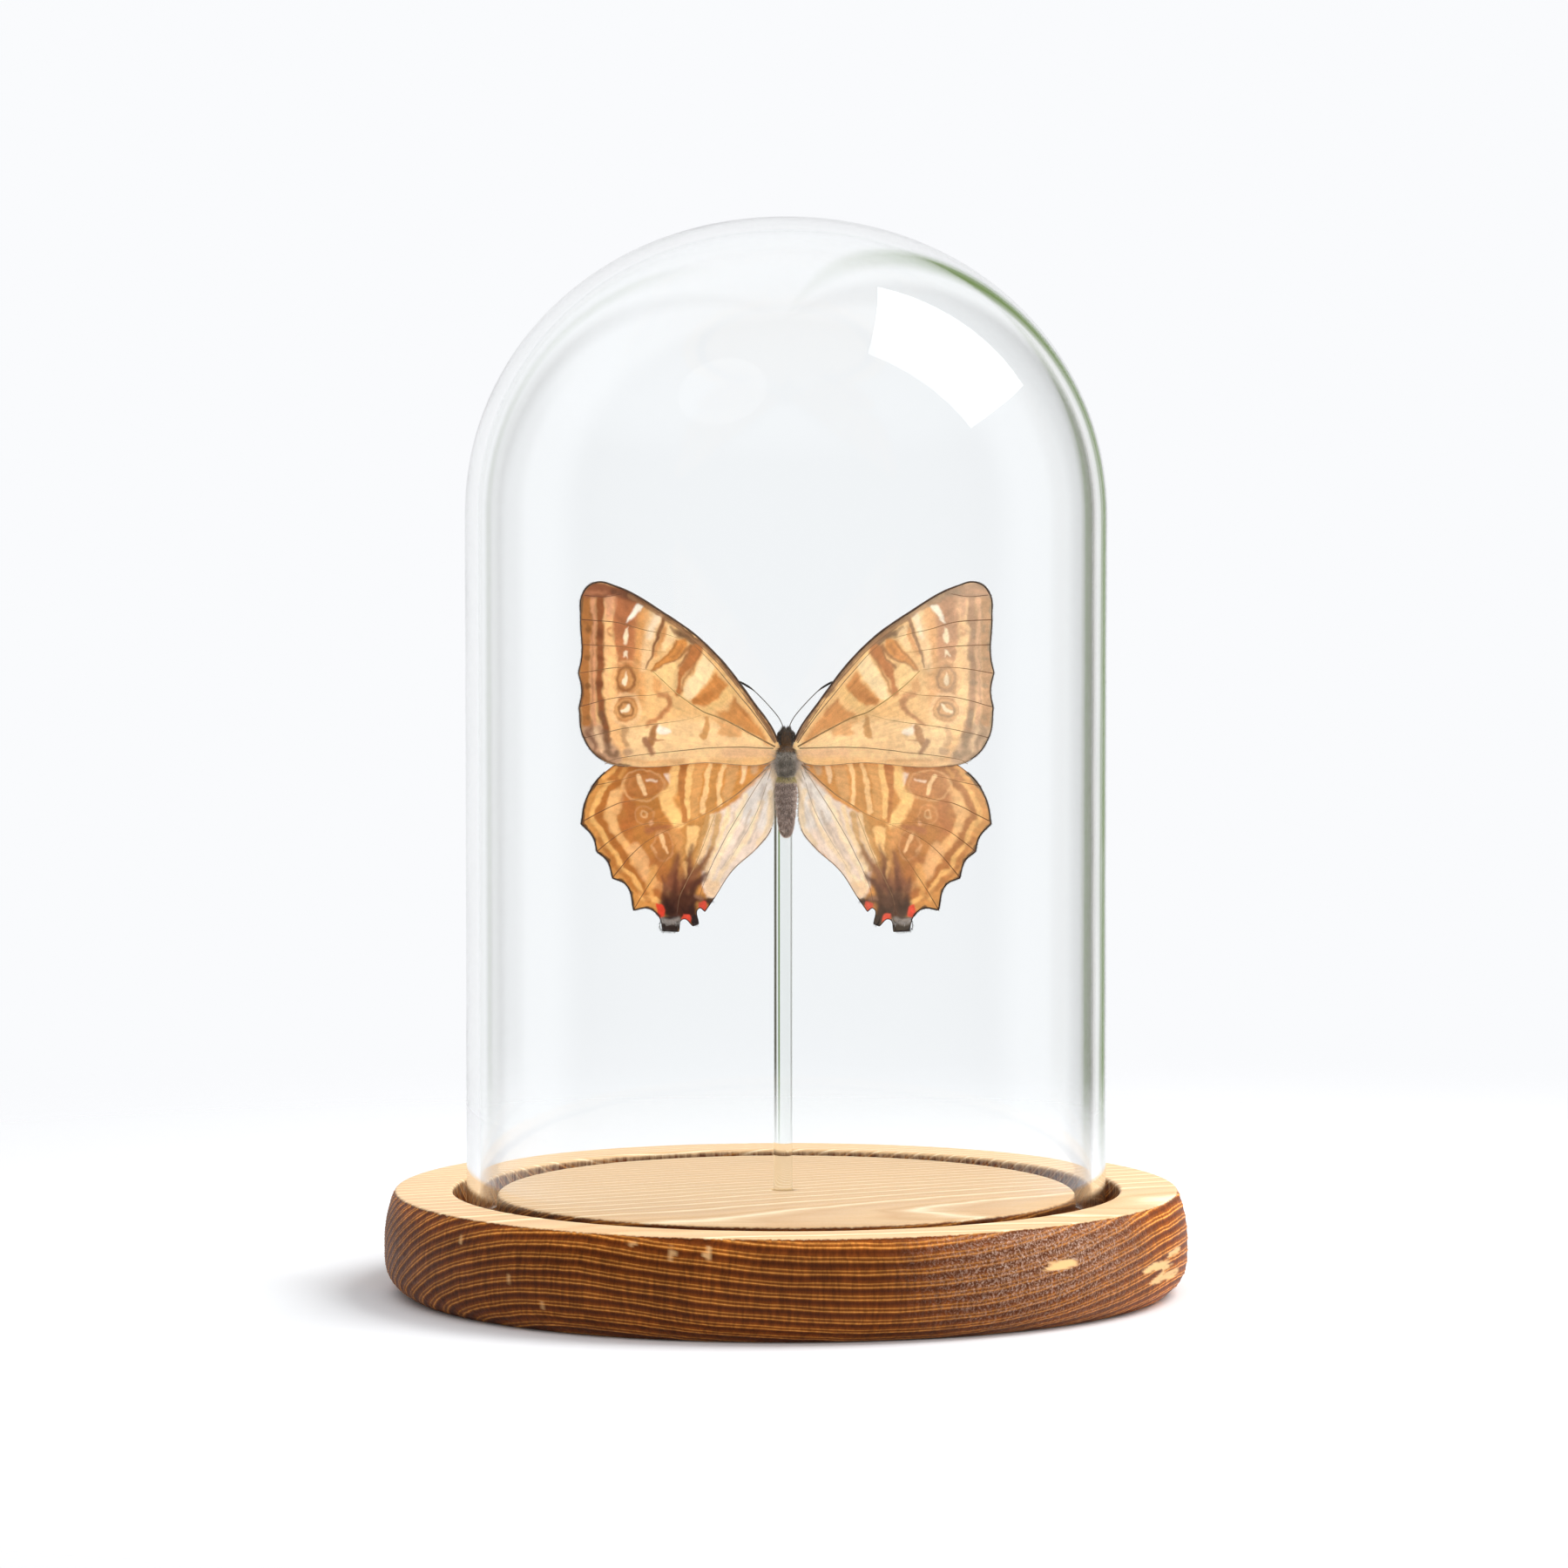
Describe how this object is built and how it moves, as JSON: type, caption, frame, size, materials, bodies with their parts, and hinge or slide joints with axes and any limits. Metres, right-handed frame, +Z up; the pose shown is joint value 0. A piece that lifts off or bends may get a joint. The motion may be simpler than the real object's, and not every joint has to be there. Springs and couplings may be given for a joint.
{
  "type": "butterfly in glass dome",
  "caption": "Spread butterfly on a clear rod under a glass dome, standing in the groove of a scorched round pine base.",
  "frame": {"origin": "centre of the base's underside", "axes": "+Z up, the upper side of the butterfly and the viewer towards -Y, +X to the viewer's right"},
  "size_m": [0.15, 0.15, 0.2],
  "materials": {
    "pine": "turned pine, side scorched dark brown, top ring sanded pale",
    "dome_glass": "clear blown glass, polished",
    "clear_rod": "clear drawn rod, polished",
    "adhesive": "clear set glue",
    "body_hair": "grey hair over brown chitin",
    "wing_scales": "thin scaled membrane, cream and orange-brown bands with dark veins",
    "dark_chitin": "dark brown chitin, half matt"
  },
  "bodies": {
    "root": {"wooden_base": "pine", "glass_dome": "dome_glass", "support_rod": "clear_rod", "glue_dab": "adhesive", "head": "body_hair", "thorax": "body_hair", "abdomen": "body_hair", "forewing_left": "wing_scales", "forewing_right": "wing_scales", "hindwing_left": "wing_scales", "hindwing_right": "wing_scales", "antenna_left": "dark_chitin", "antenna_right": "dark_chitin", "leg_front_left": "dark_chitin", "leg_front_right": "dark_chitin", "leg_middle_left": "dark_chitin", "leg_middle_right": "dark_chitin", "leg_hind_left": "dark_chitin", "leg_hind_right": "dark_chitin"}
  },
  "joints": []
}
